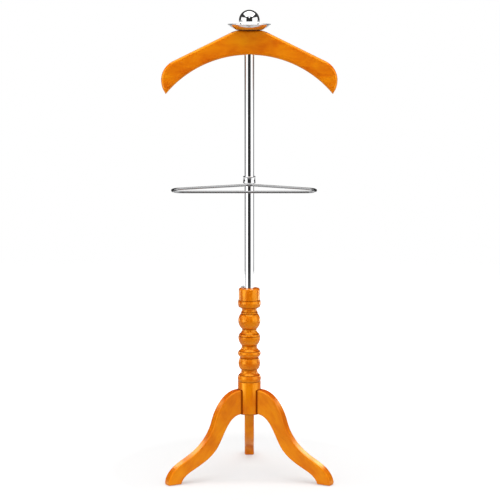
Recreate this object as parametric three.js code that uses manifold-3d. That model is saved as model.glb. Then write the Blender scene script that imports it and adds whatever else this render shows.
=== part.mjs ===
import * as THREE from 'three';
import { mergeVertices } from 'three/addons/utils/BufferGeometryUtils.js';
import Module from 'manifold-3d';

// Valet stand. Millimetres, +Z up, the front towards -Y, all sizes below are driving dimensions.

// Fits
const gap = 0.3;               // between pieces that touch
const boltGap = 0.5;           // round a bolt in its hole
const overrun = 10;            // how far a cutting body runs past the face it cuts
const mergeDistance = 1e-4;

// Facets
const roundSides = 36;
const smallSides = 24;
const boltSides = 12;
const wireSides = 8;
const wireStep = 10;
const beadSteps = 4;
const coveSteps = 3;
const ballSteps = 6;
const finialSteps = 10;
const flareSteps = 3;
const domeSteps = 5;
const shoulderSteps = 7;
const endSteps = 3;
const archSteps = 14;

// Legs
const legReach = 244.5;        // toe, from the stand's axis
const legSoleLength = 37;
const legThickness = 25;
const legTopHeight = 229;      // upper edge where it meets the column
const legRootDepth = 64;       // height of the joint on the column
const legRootLap = 10;         // cut away again by the round of the column
const legEdgeRound = 4;
const legToeHeight = 6;
const legToeRound = 1.5;
const legPull = 0.36;          // handle length of each curve, as a share of its chord
const legAzimuths = { front_left: 210, front_right: 330, back: 90 };
const soleHeight = 1;          // the glides hold the wood clear of the floor

// Stations of a leg's curves: shares of its reach and height, and the way the edge runs there
const legKnee = { out: 0.363, up: 0.664, angle: -74 };
const legAnkle = { out: 0.75, up: 0.27, angle: -26 };
const legInstep = { out: 0.63, up: 0.16, angle: 154 };
const legCalf = { out: 0.304, up: 0.403, angle: 120 };

// Glides
const glideRadius = 9;
const glideThickness = 3;
const glideRim = 1;

// Turned column, from its foot up. A bead swells between two radii, a cove is hollow between two.
const columnBelowLegs = 2;
const baseRadius = 29.8;
const baseLength = 85;
const baseEase = 2;
const baseGroove = { depth: 1, down: 1.2, up: 1.3, step: 0.4 };
const lowerBead = { low: 29.6, high: 27.6, widest: 30.2, length: 15 };
const lowerCove = { low: 27, high: 20.9, length: 10.5 };
const lowerNeckLength = 6;
const lowerBall = { radius: 28.2, below: 14, above: 14.5 };
const lowerGroove = { radius: 23.4, length: 1.2 };
const lowerLip = { radius: 24, length: 0.8 };
const middleBead = { low: 24.2, high: 27.6, widest: 29.6, length: 16 };
const middleCove = { low: 26.6, high: 19.9, length: 11 };
const middleNeckLength = 4;
const middleBall = { radius: 28.4, below: 20.3, above: 4.2 };
const middleLip = { radius: 27.2, length: 0.3 };
const smallBead = { low: 27.2, high: 24.8, widest: 26.8, length: 6 };
const upperCove = { low: 24, high: 18.9, length: 10 };
const upperNeckLength = 3;
const upperBall = { radius: 28.7, below: 20.9, above: 18.4 };
const upperLip = { radius: 21.6, length: 0.6 };
const neckBead = { low: 21.8, high: 20.6, widest: 22, length: 4.3 };
const topNeck = { radius: 19.1, taper: 4.2, length: 2.6 };
const topCove = { low: 19.1, high: 27.2, length: 6.5 };
const topBead = { low: 27.4, high: 28.2, widest: 29.6, length: 17.5 };
const topRadius = 27;
const topLength = 28.2;
const topEase = { depth: 0.7, length: 1.7 };
const topEdge = { depth: 2, length: 0.8 };
const recessRadius = 17;
const recessDepth = 62;

// Pole
const poleRadius = 12.5;
const poleWall = 1.2;
const poleSocketDepth = 60;
const plugLength = 24;
const plugThreadSpare = 3;     // plug length that its rod leaves free
const poleLength = 664.1;

// Threaded parts, by their outer radius
const tieRodRadius = 4;
const tieRodEnd = 2;           // past its nut
const tieWasherRadius = 12;
const tieWasherThickness = 2;
const tieNutWidth = 13;
const tieNutThickness = 6.5;
const studRadius = 4;
const studInBall = 18;
const legBoltRadius = 3;
const legBoltDrop = 22;        // below the leg's top
const legBoltInLeg = 38;
const legBoltInRecess = 9;
const legNutWidth = 10;
const legNutThickness = 5;
const legDowelRadius = 4;
const legDowelDrop = 47;
const legDowelInLeg = 18.5;
const legDowelInColumn = 9.5;

// Hanger
const hangerHalfWidth = 225.2;
const hangerThickness = 30;
const hangerDepth = 62.5;      // crown to the arch's top
const crownHalfWidth = 34;
const shoulderSlope = 26.1;
const shoulderRadius = 53;
const tipRadius = 60;          // of the end's lower curve
const archRadius = 278;
const hangerEdgeRound = 7;
const poleSeatDepth = 2;

// Dish and finial
const washerRadius = 33;
const washerThickness = 1;
const dishFloorRadius = 37;
const dishRimRadius = 55;
const dishHeight = 14;
const dishSheet = 1.2;
const dishFlare = 0.25;        // share of the wall's rise that bends it upwards
const ballRadius = 26.4;
const ballSeatDrop = 22;       // from the ball's centre to its flat seat
const ballThreadDepth = 20;

// Trouser bar
const collarHeight = 18;
const collarWall = 1.9;
const collarFootHeight = 766.8;
const linerWall = 1.2;
const linerInset = 0.5;
const wireRadius = 3.25;
const barReachLeft = 197.5;
const barReachRight = 171;
const barDepth = 113;          // apex to the straight front run
const barEndRadius = 26.5;
const barApexRadius = 30;
const barDroop = 3.1;          // degrees, the front run hangs lower than the apex

// Thumb screw
const thumbScrewRadius = 2.5;
const thumbHeadRadius = 8;
const thumbHeadLength = 8;
const thumbHeadEase = 1;
const bossRadius = 6;
const bossLength = 7;

// Small screw on the column's top, beside the pole
const capScrewRadius = 5.2;
const capScrewHeight = 4.5;
const capScrewAzimuth = 144.3;
const capScrewFromPole = 2;
const capShankRadius = 1.6;
const capShankLength = 18;

// Materials
const lacqueredWood = { color: 0xd97a12, roughness: 0.25, metalness: 0 };
const plainWood = { color: 0xd8b98a, roughness: 0.7, metalness: 0 };
const chrome = { color: 0xd8d9dc, roughness: 0.08, metalness: 1 };
const zincSteel = { color: 0xa9abad, roughness: 0.4, metalness: 1 };
const darkNylon = { color: 0x2b2b2b, roughness: 0.6, metalness: 0 };
const paleNylon = { color: 0xd9d6cc, roughness: 0.5, metalness: 0 };

const degrees = Math.PI / 180;
const wasm = await Module();
wasm.setup();

const stand = new THREE.Group();

function addPiece(name, geometry, look) {
  const material = new THREE.MeshStandardMaterial(look);
  const mesh = new THREE.Mesh(geometry, material);
  mesh.name = name;
  stand.add(mesh);
  return mesh;
}

// A closed geometry as a solid that can be cut or joined.
function toSolid(geometry) {
  const bare = geometry.index ? geometry.toNonIndexed() : geometry.clone();
  bare.deleteAttribute('normal');
  bare.deleteAttribute('uv');
  const merged = mergeVertices(bare, mergeDistance);
  const vertProperties = merged.attributes.position.array;
  const triVerts = new Uint32Array(merged.index.array);
  return new wasm.Manifold(new wasm.Mesh({ numProp: 3, vertProperties, triVerts }));
}

// A solid back as a geometry.
function toGeometry(solid) {
  const mesh = solid.getMesh();
  const geometry = new THREE.BufferGeometry();
  geometry.setAttribute('position', new THREE.BufferAttribute(mesh.vertProperties, 3));
  geometry.setIndex(new THREE.BufferAttribute(mesh.triVerts, 1));
  geometry.computeVertexNormals();
  return geometry;
}

function cut(geometry, ...tools) {
  let solid = toSolid(geometry);
  for (const tool of tools) solid = solid.subtract(toSolid(tool));
  return toGeometry(solid);
}

function join(geometry, ...others) {
  let solid = toSolid(geometry);
  for (const other of others) solid = solid.add(toSolid(other));
  return toGeometry(solid);
}

// A body turned about Z from [radius, height] points that run up the outside.
function turned(points, sides) {
  const profile = points.map(([radius, height]) => new THREE.Vector2(radius, height));
  return new THREE.LatheGeometry(profile, sides).rotateX(90 * degrees);
}

// A round bar along Z between two heights.
function rod(radius, low, high, sides) {
  const geometry = new THREE.CylinderGeometry(radius, radius, high - low, sides);
  return geometry.rotateX(90 * degrees).translate(0, 0, (low + high) / 2);
}

// A tube or ring about Z.
function ring(innerRadius, outerRadius, low, high, sides) {
  const corners = [
    [innerRadius, low],
    [outerRadius, low],
    [outerRadius, high],
    [innerRadius, high],
    [innerRadius, low],
  ];
  return turned(corners, sides);
}

// A hexagonal nut about Z, by its width across the flats.
function hexNut(acrossFlats, boreRadius, low, high) {
  const outside = rod(acrossFlats / Math.sqrt(3), low, high, 6);
  return cut(outside, rod(boreRadius, low - overrun, high + overrun, boltSides));
}

// A piece made along Z from the origin, laid outwards along +X at a height.
function laidOut(geometry, height) {
  return geometry.rotateY(90 * degrees).translate(0, 0, height);
}

// A piece made along Z from the origin, laid backwards along +Y at a height.
function laidBack(geometry, height) {
  return geometry.rotateX(-90 * degrees).translate(0, 0, height);
}

// ---- Turned column -------------------------------------------------------------------------

// The outline climbs from the column's foot. Each call adds one turned feature above the last.
class TurnedOutline {
  constructor(radius, height) {
    this.points = [[radius, height]];
    this.height = height;
  }

  to(radius, length) {
    this.height += length;
    this.points.push([radius, this.height]);
    return this;
  }

  // Adds points up a feature's length, by a function of the share of that length.
  curve(length, steps, radiusAt) {
    for (let i = 0; i <= steps; i += 1) {
      const share = i / steps;
      this.points.push([radiusAt(share), this.height + length * share]);
    }
    this.height += length;
    return this;
  }

  bead({ low, high, widest, length }) {
    const bulge = widest - (low + high) / 2;
    return this.curve(length, beadSteps, (t) => low + (high - low) * t + bulge * Math.sin(Math.PI * t));
  }

  // A hollow curve up to a narrow neck.
  coveIn({ low, high, length }) {
    return this.curve(length, coveSteps, (t) => low + (high - low) * Math.sin(90 * degrees * t));
  }

  // A hollow curve from a neck up to a wide edge.
  coveOut({ low, high, length }) {
    return this.curve(length, coveSteps, (t) => high + (low - high) * Math.cos(90 * degrees * t));
  }

  // Part of a sphere centred on the axis, by how far it reaches below and above its centre.
  ball({ radius, below, above }) {
    const centre = this.height + below;
    const start = Math.asin(-below / radius);
    const end = Math.asin(above / radius);
    for (let i = 0; i <= ballSteps; i += 1) {
      const angle = start + ((end - start) * i) / ballSteps;
      this.points.push([radius * Math.cos(angle), centre + radius * Math.sin(angle)]);
    }
    this.height = centre + above;
    return this;
  }
}

const columnFootHeight = legTopHeight - legRootDepth - columnBelowLegs;

function columnOutline() {
  const outline = new TurnedOutline(baseRadius - baseEase, columnFootHeight);
  outline.to(baseRadius, baseEase).to(baseRadius, baseLength - baseEase);
  outline.to(baseRadius - baseGroove.depth, baseGroove.down);
  outline.to(baseRadius - baseGroove.step, baseGroove.up);
  outline.bead(lowerBead).coveIn(lowerCove).to(lowerCove.high, lowerNeckLength);
  outline.ball(lowerBall).to(lowerGroove.radius, lowerGroove.length).to(lowerLip.radius, lowerLip.length);
  outline.bead(middleBead).coveIn(middleCove).to(middleCove.high, middleNeckLength);
  outline.ball(middleBall).to(middleLip.radius, middleLip.length).bead(smallBead);
  outline.coveIn(upperCove).to(upperCove.high, upperNeckLength);
  outline.ball(upperBall).to(upperLip.radius, upperLip.length).bead(neckBead);
  outline.to(topNeck.radius, topNeck.taper).to(topNeck.radius, topNeck.length);
  outline.coveOut(topCove).bead(topBead).to(topRadius, 0).to(topRadius, topLength);
  outline.to(topRadius - topEase.depth, topEase.length);
  outline.to(topRadius - topEdge.depth, topEdge.length);
  return outline;
}

const outline = columnOutline();
const columnTopHeight = outline.height;
const socketFloor = columnTopHeight - poleSocketDepth;
const recessTopHeight = columnFootHeight + recessDepth;
const legBoltHeight = legTopHeight - legBoltDrop;
const legDowelHeight = legTopHeight - legDowelDrop;
const dowelStart = baseRadius - legDowelInColumn;
const dowelEnd = baseRadius + legDowelInLeg;
const boltEnd = baseRadius + legBoltInLeg;

// The holes of one leg's bolt and dowel in the column.
function legHoles(azimuth) {
  const boltHole = rod(legBoltRadius + boltGap, 0, baseRadius + overrun, boltSides);
  const dowelHole = rod(legDowelRadius + gap, dowelStart - gap, baseRadius + overrun, boltSides);
  const holes = [laidOut(boltHole, legBoltHeight), laidOut(dowelHole, legDowelHeight)];
  return holes.map((hole) => hole.rotateZ(azimuth * degrees));
}

// A body on the column's axis, moved to the small screw's place.
function atCapScrew(geometry) {
  const distance = poleRadius + capScrewFromPole + capScrewRadius;
  return geometry.translate(distance, 0, 0).rotateZ(capScrewAzimuth * degrees);
}

function columnGeometry() {
  const bores = [
    [poleRadius + gap, columnTopHeight],
    [poleRadius + gap, socketFloor],
    [tieRodRadius + boltGap, socketFloor],
    [tieRodRadius + boltGap, recessTopHeight],
    [recessRadius, recessTopHeight],
    [recessRadius, columnFootHeight],
    outline.points[0],
  ];
  const body = turned([...outline.points, ...bores], roundSides);
  const screwHoleFloor = columnTopHeight - capShankLength - gap;
  const screwHole = rod(capShankRadius + gap, screwHoleFloor, columnTopHeight + overrun, boltSides);
  return cut(body, ...Object.values(legAzimuths).flatMap(legHoles), atCapScrew(screwHole));
}

addPiece('turned_column', columnGeometry(), lacqueredWood);

function capScrewGeometry() {
  const foot = columnTopHeight + gap;
  const dome = [[0, foot]];
  for (let i = 0; i <= domeSteps; i += 1) {
    const angle = (90 * degrees * i) / domeSteps;
    const radius = i < domeSteps ? capScrewRadius * Math.cos(angle) : 0;
    dome.push([radius, foot + capScrewHeight * Math.sin(angle)]);
  }
  const shank = rod(capShankRadius, columnTopHeight - capShankLength, foot + capScrewHeight / 2, boltSides);
  return atCapScrew(join(turned(dome, smallSides), shank));
}

addPiece('column_top_screw', capScrewGeometry(), zincSteel);

// ---- Legs ----------------------------------------------------------------------------------

// Adds a curve between two stations, each a place and the direction the edge runs in there.
function bend(shape, from, to) {
  const pull = legPull * Math.hypot(to.x - from.x, to.y - from.y);
  const start = from.angle * degrees;
  const end = to.angle * degrees;
  shape.bezierCurveTo(
    from.x + pull * Math.cos(start),
    from.y + pull * Math.sin(start),
    to.x - pull * Math.cos(end),
    to.y - pull * Math.sin(end),
    to.x,
    to.y,
  );
}

function legStation({ out, up, angle }) {
  const x = baseRadius + out * (legReach - baseRadius);
  return { x, y: up * legTopHeight, angle };
}

// The board's outline in its own plane: out along the top edge to the toe, back along the lower edge.
function legShape() {
  const rootStart = baseRadius - legRootLap;
  const top = { x: baseRadius, y: legTopHeight, angle: 0 };
  const knee = legStation(legKnee);
  const ankle = legStation(legAnkle);
  const toe = { x: legReach, y: soleHeight + legToeHeight, angle: -80 };
  const heel = { x: legReach - legSoleLength, y: soleHeight, angle: 107 };
  const instep = legStation(legInstep);
  const calf = legStation(legCalf);
  const root = { x: baseRadius, y: legTopHeight - legRootDepth, angle: 178 };
  const shape = new THREE.Shape();
  shape.moveTo(rootStart, legTopHeight);
  shape.lineTo(top.x, top.y);
  bend(shape, top, knee);
  bend(shape, knee, ankle);
  bend(shape, ankle, toe);
  shape.lineTo(legReach - legToeRound, soleHeight);
  shape.lineTo(heel.x, heel.y);
  bend(shape, heel, instep);
  bend(shape, instep, calf);
  bend(shape, calf, root);
  shape.lineTo(rootStart, root.y);
  return shape;
}

function legGeometry() {
  const board = new THREE.ExtrudeGeometry(legShape(), {
    depth: legThickness - 2 * legEdgeRound,
    curveSegments: 6,
    bevelThickness: legEdgeRound,
    bevelSize: legEdgeRound,
    bevelOffset: -legEdgeRound,
    bevelSegments: 2,
  });
  board.translate(0, 0, legEdgeRound - legThickness / 2).rotateX(90 * degrees);
  const column = rod(baseRadius + gap, 0, legTopHeight + overrun, roundSides);
  const boltHole = rod(legBoltRadius + gap, 0, boltEnd + gap, boltSides);
  const dowelHole = rod(legDowelRadius + gap, 0, dowelEnd + gap, boltSides);
  const glideSeat = rod(glideRadius + gap, -overrun, glideThickness + gap, smallSides);
  glideSeat.translate(legReach - legSoleLength / 2, 0, 0);
  return cut(board, column, laidOut(boltHole, legBoltHeight), laidOut(dowelHole, legDowelHeight), glideSeat);
}

function legBolt() {
  const bolt = rod(legBoltRadius, recessRadius - legBoltInRecess, boltEnd, boltSides);
  return laidOut(bolt, legBoltHeight);
}

// The nut's corners touch the round wall of the recess first.
function legNut() {
  const corner = legNutWidth / Math.sqrt(3);
  const face = Math.sqrt(recessRadius ** 2 - corner ** 2) - gap;
  return laidOut(hexNut(legNutWidth, legBoltRadius + gap, face - legNutThickness, face), legBoltHeight);
}

function legDowel() {
  return laidOut(rod(legDowelRadius, dowelStart, dowelEnd, boltSides), legDowelHeight);
}

function glide() {
  const points = [
    [0, 0],
    [glideRadius - glideRim, 0],
    [glideRadius, glideRim],
    [glideRadius, glideThickness],
    [0, glideThickness],
  ];
  return turned(points, smallSides).translate(legReach - legSoleLength / 2, 0, 0);
}

for (const [side, azimuth] of Object.entries(legAzimuths)) {
  const turn = azimuth * degrees;
  addPiece(`leg_${side}`, legGeometry(), lacqueredWood).rotation.z = turn;
  addPiece(`leg_bolt_${side}`, legBolt(), zincSteel).rotation.z = turn;
  addPiece(`leg_nut_${side}`, legNut(), zincSteel).rotation.z = turn;
  addPiece(`leg_dowel_${side}`, legDowel(), plainWood).rotation.z = turn;
  addPiece(`glide_${side}`, glide(), paleNylon).rotation.z = turn;
}

// ---- Pole and the rod that holds it down ---------------------------------------------------

const poleFootHeight = socketFloor + gap;
const poleTopHeight = poleFootHeight + poleLength;
const poleBore = poleRadius - poleWall;
const archTopHeight = poleTopHeight + gap - poleSeatDepth;
const crownHeight = archTopHeight + hangerDepth;

addPiece('pole', ring(poleBore, poleRadius, poleFootHeight, poleTopHeight, roundSides), chrome);

function threadedPlug(rodRadius, low) {
  return ring(rodRadius + gap, poleBore - gap, low, low + plugLength, smallSides);
}

addPiece('pole_bottom_plug', threadedPlug(tieRodRadius, poleFootHeight), zincSteel);
addPiece('pole_top_plug', threadedPlug(studRadius, poleTopHeight - plugLength), zincSteel);

const tieWasherTop = recessTopHeight - gap;
const tieWasherFoot = tieWasherTop - tieWasherThickness;
const tieNutTop = tieWasherFoot - gap;
const tieNutFoot = tieNutTop - tieNutThickness;
const tieRodTop = poleFootHeight + plugLength - plugThreadSpare;
const tieBore = tieRodRadius + gap;

addPiece('tie_rod', rod(tieRodRadius, tieNutFoot - tieRodEnd, tieRodTop, boltSides), zincSteel);
addPiece('tie_rod_washer', ring(tieBore, tieWasherRadius, tieWasherFoot, tieWasherTop, smallSides), zincSteel);
addPiece('tie_rod_nut', hexNut(tieNutWidth, tieBore, tieNutFoot, tieNutTop), zincSteel);

// ---- Hanger --------------------------------------------------------------------------------

// The lower of the two places where circles cross, each given as [x, y, radius].
function circlesCross([ax, ay, ar], [bx, by, br]) {
  const span = Math.hypot(bx - ax, by - ay);
  const along = (ar ** 2 - br ** 2 + span ** 2) / (2 * span);
  const aside = Math.sqrt(ar ** 2 - along ** 2);
  const ux = (bx - ax) / span;
  const uy = (by - ay) / span;
  const first = [ax + along * ux + aside * uy, ay + along * uy - aside * ux];
  const second = [ax + along * ux - aside * uy, ay + along * uy + aside * ux];
  return first[1] < second[1] ? first : second;
}

function onCircle([x, y, radius], angle) {
  return [x + radius * Math.cos(angle), y + radius * Math.sin(angle)];
}

// Half of the board's outline, from the crown's middle to the arch's top, on the +X side.
function hangerHalf() {
  const slope = shoulderSlope * degrees;
  const quarter = 90 * degrees;
  const shoulderX = hangerHalfWidth - shoulderRadius;
  const drop = shoulderRadius + (shoulderX - crownHalfWidth) * Math.sin(slope);
  const shoulderY = crownHeight - drop / Math.cos(slope);
  const shoulder = [shoulderX, shoulderY, shoulderRadius];
  const end = [hangerHalfWidth - tipRadius, shoulderY, tipRadius];
  const arch = [0, archTopHeight - archRadius, archRadius];
  const tip = circlesCross(end, arch);
  const points = [[crownHalfWidth, crownHeight]];
  for (let i = 0; i <= shoulderSteps; i += 1) {
    points.push(onCircle(shoulder, (quarter - slope) * (1 - i / shoulderSteps)));
  }
  const endAngle = Math.asin((tip[1] - shoulderY) / tipRadius);
  for (let i = 1; i <= endSteps; i += 1) {
    points.push(onCircle(end, (endAngle * i) / endSteps));
  }
  const archAngle = Math.asin(tip[0] / archRadius);
  for (let i = archSteps - 1; i >= 0; i -= 1) {
    points.push(onCircle(arch, quarter - (archAngle * i) / archSteps));
  }
  return points;
}

function hangerGeometry() {
  const half = hangerHalf();
  const mirrored = half.slice(0, -1).reverse().map(([x, y]) => [-x, y]);
  const corners = [...half, ...mirrored].map(([x, y]) => new THREE.Vector2(x, y));
  const board = new THREE.ExtrudeGeometry(new THREE.Shape(corners), {
    depth: hangerThickness - 2 * hangerEdgeRound,
    bevelThickness: hangerEdgeRound,
    bevelSize: hangerEdgeRound,
    bevelOffset: -hangerEdgeRound,
    bevelSegments: 3,
  });
  board.translate(0, 0, hangerEdgeRound - hangerThickness / 2).rotateX(90 * degrees);
  const studHole = rod(studRadius + boltGap, archTopHeight - overrun, crownHeight + overrun, smallSides);
  const poleSeat = rod(poleRadius + gap, archTopHeight - overrun, archTopHeight + poleSeatDepth, roundSides);
  return cut(board, studHole, poleSeat);
}

addPiece('coat_hanger', hangerGeometry(), lacqueredWood);

// ---- Dish, finial ball and stud ------------------------------------------------------------

const washerFoot = crownHeight + gap;
const washerTop = washerFoot + washerThickness;
const dishFoot = washerTop + gap;
const ballSeat = dishFoot + dishSheet + gap;
const studHoleRadius = studRadius + boltGap;

addPiece('dish_washer', ring(studHoleRadius, washerRadius, washerFoot, washerTop, roundSides), darkNylon);

// A flat floor and a wall that flares up to the rim, in sheet metal.
function dishGeometry() {
  const run = dishRimRadius - dishFloorRadius;
  const rise = dishHeight - dishSheet;
  const under = [];
  const over = [];
  for (let i = 0; i <= flareSteps; i += 1) {
    const t = i / flareSteps;
    const radius = dishFloorRadius + run * t;
    const lift = rise * ((1 - dishFlare) * t + dishFlare * t * t);
    const slope = Math.atan((rise / run) * (1 - dishFlare + 2 * dishFlare * t));
    under.push([radius, dishFoot + lift]);
    over.unshift([radius - dishSheet * Math.tan(slope / 2), dishFoot + dishSheet + lift]);
  }
  const floorUnder = [studHoleRadius, dishFoot];
  const floorOver = [studHoleRadius, dishFoot + dishSheet];
  return turned([floorUnder, ...under, ...over, floorOver, floorUnder], roundSides);
}

addPiece('accessory_dish', dishGeometry(), chrome);

function ballGeometry() {
  const centre = ballSeat + ballSeatDrop;
  const start = Math.asin(-ballSeatDrop / ballRadius);
  const holeTop = ballSeat + ballThreadDepth;
  const hole = studRadius + gap;
  const points = [[0, holeTop], [hole, holeTop], [hole, ballSeat]];
  for (let i = 0; i <= finialSteps; i += 1) {
    const angle = start + ((90 * degrees - start) * i) / finialSteps;
    const radius = i < finialSteps ? ballRadius * Math.cos(angle) : 0;
    points.push([radius, centre + ballRadius * Math.sin(angle)]);
  }
  return turned(points, roundSides);
}

addPiece('finial_ball', ballGeometry(), chrome);

const studFoot = poleTopHeight - plugLength + plugThreadSpare;
addPiece('finial_stud', rod(studRadius, studFoot, ballSeat + studInBall, boltSides), zincSteel);

// ---- Trouser bar on its collar -------------------------------------------------------------

const linerRadius = poleRadius + gap + linerWall;
const collarBore = linerRadius + gap;
const collarRadius = collarBore + collarWall;
const collarTopHeight = collarFootHeight + collarHeight;
const collarMiddle = (collarFootHeight + collarTopHeight) / 2;
const bossEnd = collarRadius + bossLength;

function linerGeometry() {
  const low = collarFootHeight + linerInset;
  return ring(poleRadius + gap, linerRadius, low, collarTopHeight - linerInset, roundSides);
}

addPiece('collar_liner', linerGeometry(), darkNylon);

// The collar, with a boss behind the pole for its screw.
function collarGeometry() {
  const outside = rod(collarRadius, collarFootHeight, collarTopHeight, roundSides);
  const boss = laidBack(rod(bossRadius, 0, bossEnd, smallSides), collarMiddle);
  const bore = rod(collarBore, collarFootHeight - overrun, collarTopHeight + overrun, roundSides);
  const screwHole = rod(thumbScrewRadius + gap, 0, bossEnd + overrun, boltSides);
  return cut(join(outside, boss), bore, laidBack(screwHole, collarMiddle));
}

addPiece('bar_collar', collarGeometry(), chrome);

function thumbScrewGeometry() {
  const tip = linerRadius + 2 * gap;
  const headFoot = bossEnd + gap;
  const headEnd = headFoot + thumbHeadLength;
  const points = [
    [0, tip],
    [thumbScrewRadius, tip],
    [thumbScrewRadius, headFoot],
    [thumbHeadRadius - thumbHeadEase, headFoot],
    [thumbHeadRadius, headFoot + thumbHeadEase],
    [thumbHeadRadius, headEnd - thumbHeadEase],
    [thumbHeadRadius - thumbHeadEase, headEnd],
    [0, headEnd],
  ];
  return laidBack(turned(points, smallSides), collarMiddle);
}

addPiece('collar_thumb_screw', thumbScrewGeometry(), chrome);

// Where one side of the wire loop ends, and how far its arm leans forwards on the way there.
function barSide(reach) {
  const endX = reach - wireRadius - barEndRadius;
  const endY = barDepth - barEndRadius;
  const span = Math.hypot(endX, endY - barApexRadius);
  const lean = Math.atan2(endY - barApexRadius, endX);
  const armAngle = lean - Math.asin((barEndRadius - barApexRadius) / span);
  return { endX, endY, armAngle };
}

// The loop's flat centre line: from the apex at the origin round the right end and the left end.
function barPath() {
  const right = barSide(barReachRight);
  const left = barSide(barReachLeft);
  const quarter = 90 * degrees;
  const path = new THREE.Path();
  path.absarc(0, -barApexRadius, barApexRadius, quarter, quarter - right.armAngle, true);
  path.absarc(right.endX, -right.endY, barEndRadius, quarter - right.armAngle, -quarter, true);
  path.absarc(-left.endX, -left.endY, barEndRadius, -quarter, left.armAngle - 3 * quarter, true);
  path.absarc(0, -barApexRadius, barApexRadius, left.armAngle - 3 * quarter, -3 * quarter, true);
  return path;
}

// The wire bent along that line. Its two ends meet under the collar.
class BentWire extends THREE.Curve {
  constructor(path, endGap) {
    super();
    this.path = path;
    this.trim = endGap / 2 / path.getLength();
  }

  getPoint(t, target = new THREE.Vector3()) {
    const place = this.path.getPoint(this.trim + t * (1 - 2 * this.trim));
    return target.set(place.x, place.y, 0);
  }
}

function trouserBarGeometry() {
  const path = barPath();
  const section = new THREE.Shape().absarc(0, 0, wireRadius, 0, 2 * Math.PI);
  const wire = new THREE.ExtrudeGeometry(section, {
    extrudePath: new BentWire(path, gap),
    steps: Math.round(path.getLength() / wireStep),
    curveSegments: wireSides / 2,
  });
  const apexDistance = poleRadius + gap + wireRadius;
  const apexHeight = collarFootHeight - gap - wireRadius;
  return wire.rotateX(barDroop * degrees).translate(0, -apexDistance, apexHeight);
}

addPiece('trouser_bar', trouserBarGeometry(), chrome);

// ---- The part's origin: on the floor, under the middle of the overall box -----------------------

const overall = new THREE.Box3().setFromObject(stand);
const middle = overall.getCenter(new THREE.Vector3());
stand.position.set(-middle.x, -middle.y, -overall.min.z);

const valetStand = new THREE.Group();
valetStand.add(stand);

export default valetStand;
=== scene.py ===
from math import asin, atan2, cos, degrees, hypot, pi, radians, sin, sqrt, tan

import bmesh
import bpy
from mathutils import Matrix, Vector


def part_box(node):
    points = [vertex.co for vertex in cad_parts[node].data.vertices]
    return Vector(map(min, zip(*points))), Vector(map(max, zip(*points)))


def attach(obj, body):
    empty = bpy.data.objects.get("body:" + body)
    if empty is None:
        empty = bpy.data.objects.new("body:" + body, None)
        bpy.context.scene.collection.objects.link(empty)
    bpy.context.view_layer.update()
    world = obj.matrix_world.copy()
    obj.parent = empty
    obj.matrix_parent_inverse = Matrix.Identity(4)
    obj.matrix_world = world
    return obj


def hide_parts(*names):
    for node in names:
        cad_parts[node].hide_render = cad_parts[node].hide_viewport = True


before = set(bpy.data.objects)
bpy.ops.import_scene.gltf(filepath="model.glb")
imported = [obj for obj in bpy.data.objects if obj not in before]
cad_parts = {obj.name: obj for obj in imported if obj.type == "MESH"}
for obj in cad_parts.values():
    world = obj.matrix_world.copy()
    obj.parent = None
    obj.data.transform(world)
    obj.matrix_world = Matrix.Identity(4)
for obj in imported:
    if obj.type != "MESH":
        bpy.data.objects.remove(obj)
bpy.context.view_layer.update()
scene = bpy.context.scene
print("valet stand: frame loaded,", len(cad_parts), "nodes")

mm = 0.001
quarter = radians(90)
poleLow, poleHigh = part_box("pole")
axisX = (poleLow.x + poleHigh.x) / 2
axisY = (poleLow.y + poleHigh.y) / 2
# pieces are drawn in millimetres round the pole's axis, then moved to their place
toFrame = Matrix.Translation((axisX, axisY, 0)) @ Matrix.Scale(mm, 4)


def span(node):  # the lowest and highest level of a CAD node
    low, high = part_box(node)
    return low.z / mm, high.z / mm


class Wire:
    # one output socket that can be used in sums
    def __init__(self, maker, socket):
        self.maker = maker
        self.socket = socket

    def sum(self, operation, *values):
        return self.maker.node("Math", {"operation": operation}, values)

    def __add__(self, other):
        return self.sum("ADD", self, other)

    def __radd__(self, other):
        return self.sum("ADD", other, self)

    def __sub__(self, other):
        return self.sum("SUBTRACT", self, other)

    def __rsub__(self, other):
        return self.sum("SUBTRACT", other, self)

    def __mul__(self, other):
        return self.sum("MULTIPLY", self, other)

    def __rmul__(self, other):
        return self.sum("MULTIPLY", other, self)

    def __truediv__(self, other):
        return self.sum("DIVIDE", self, other)

    def __rtruediv__(self, other):
        return self.sum("DIVIDE", other, self)


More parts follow.
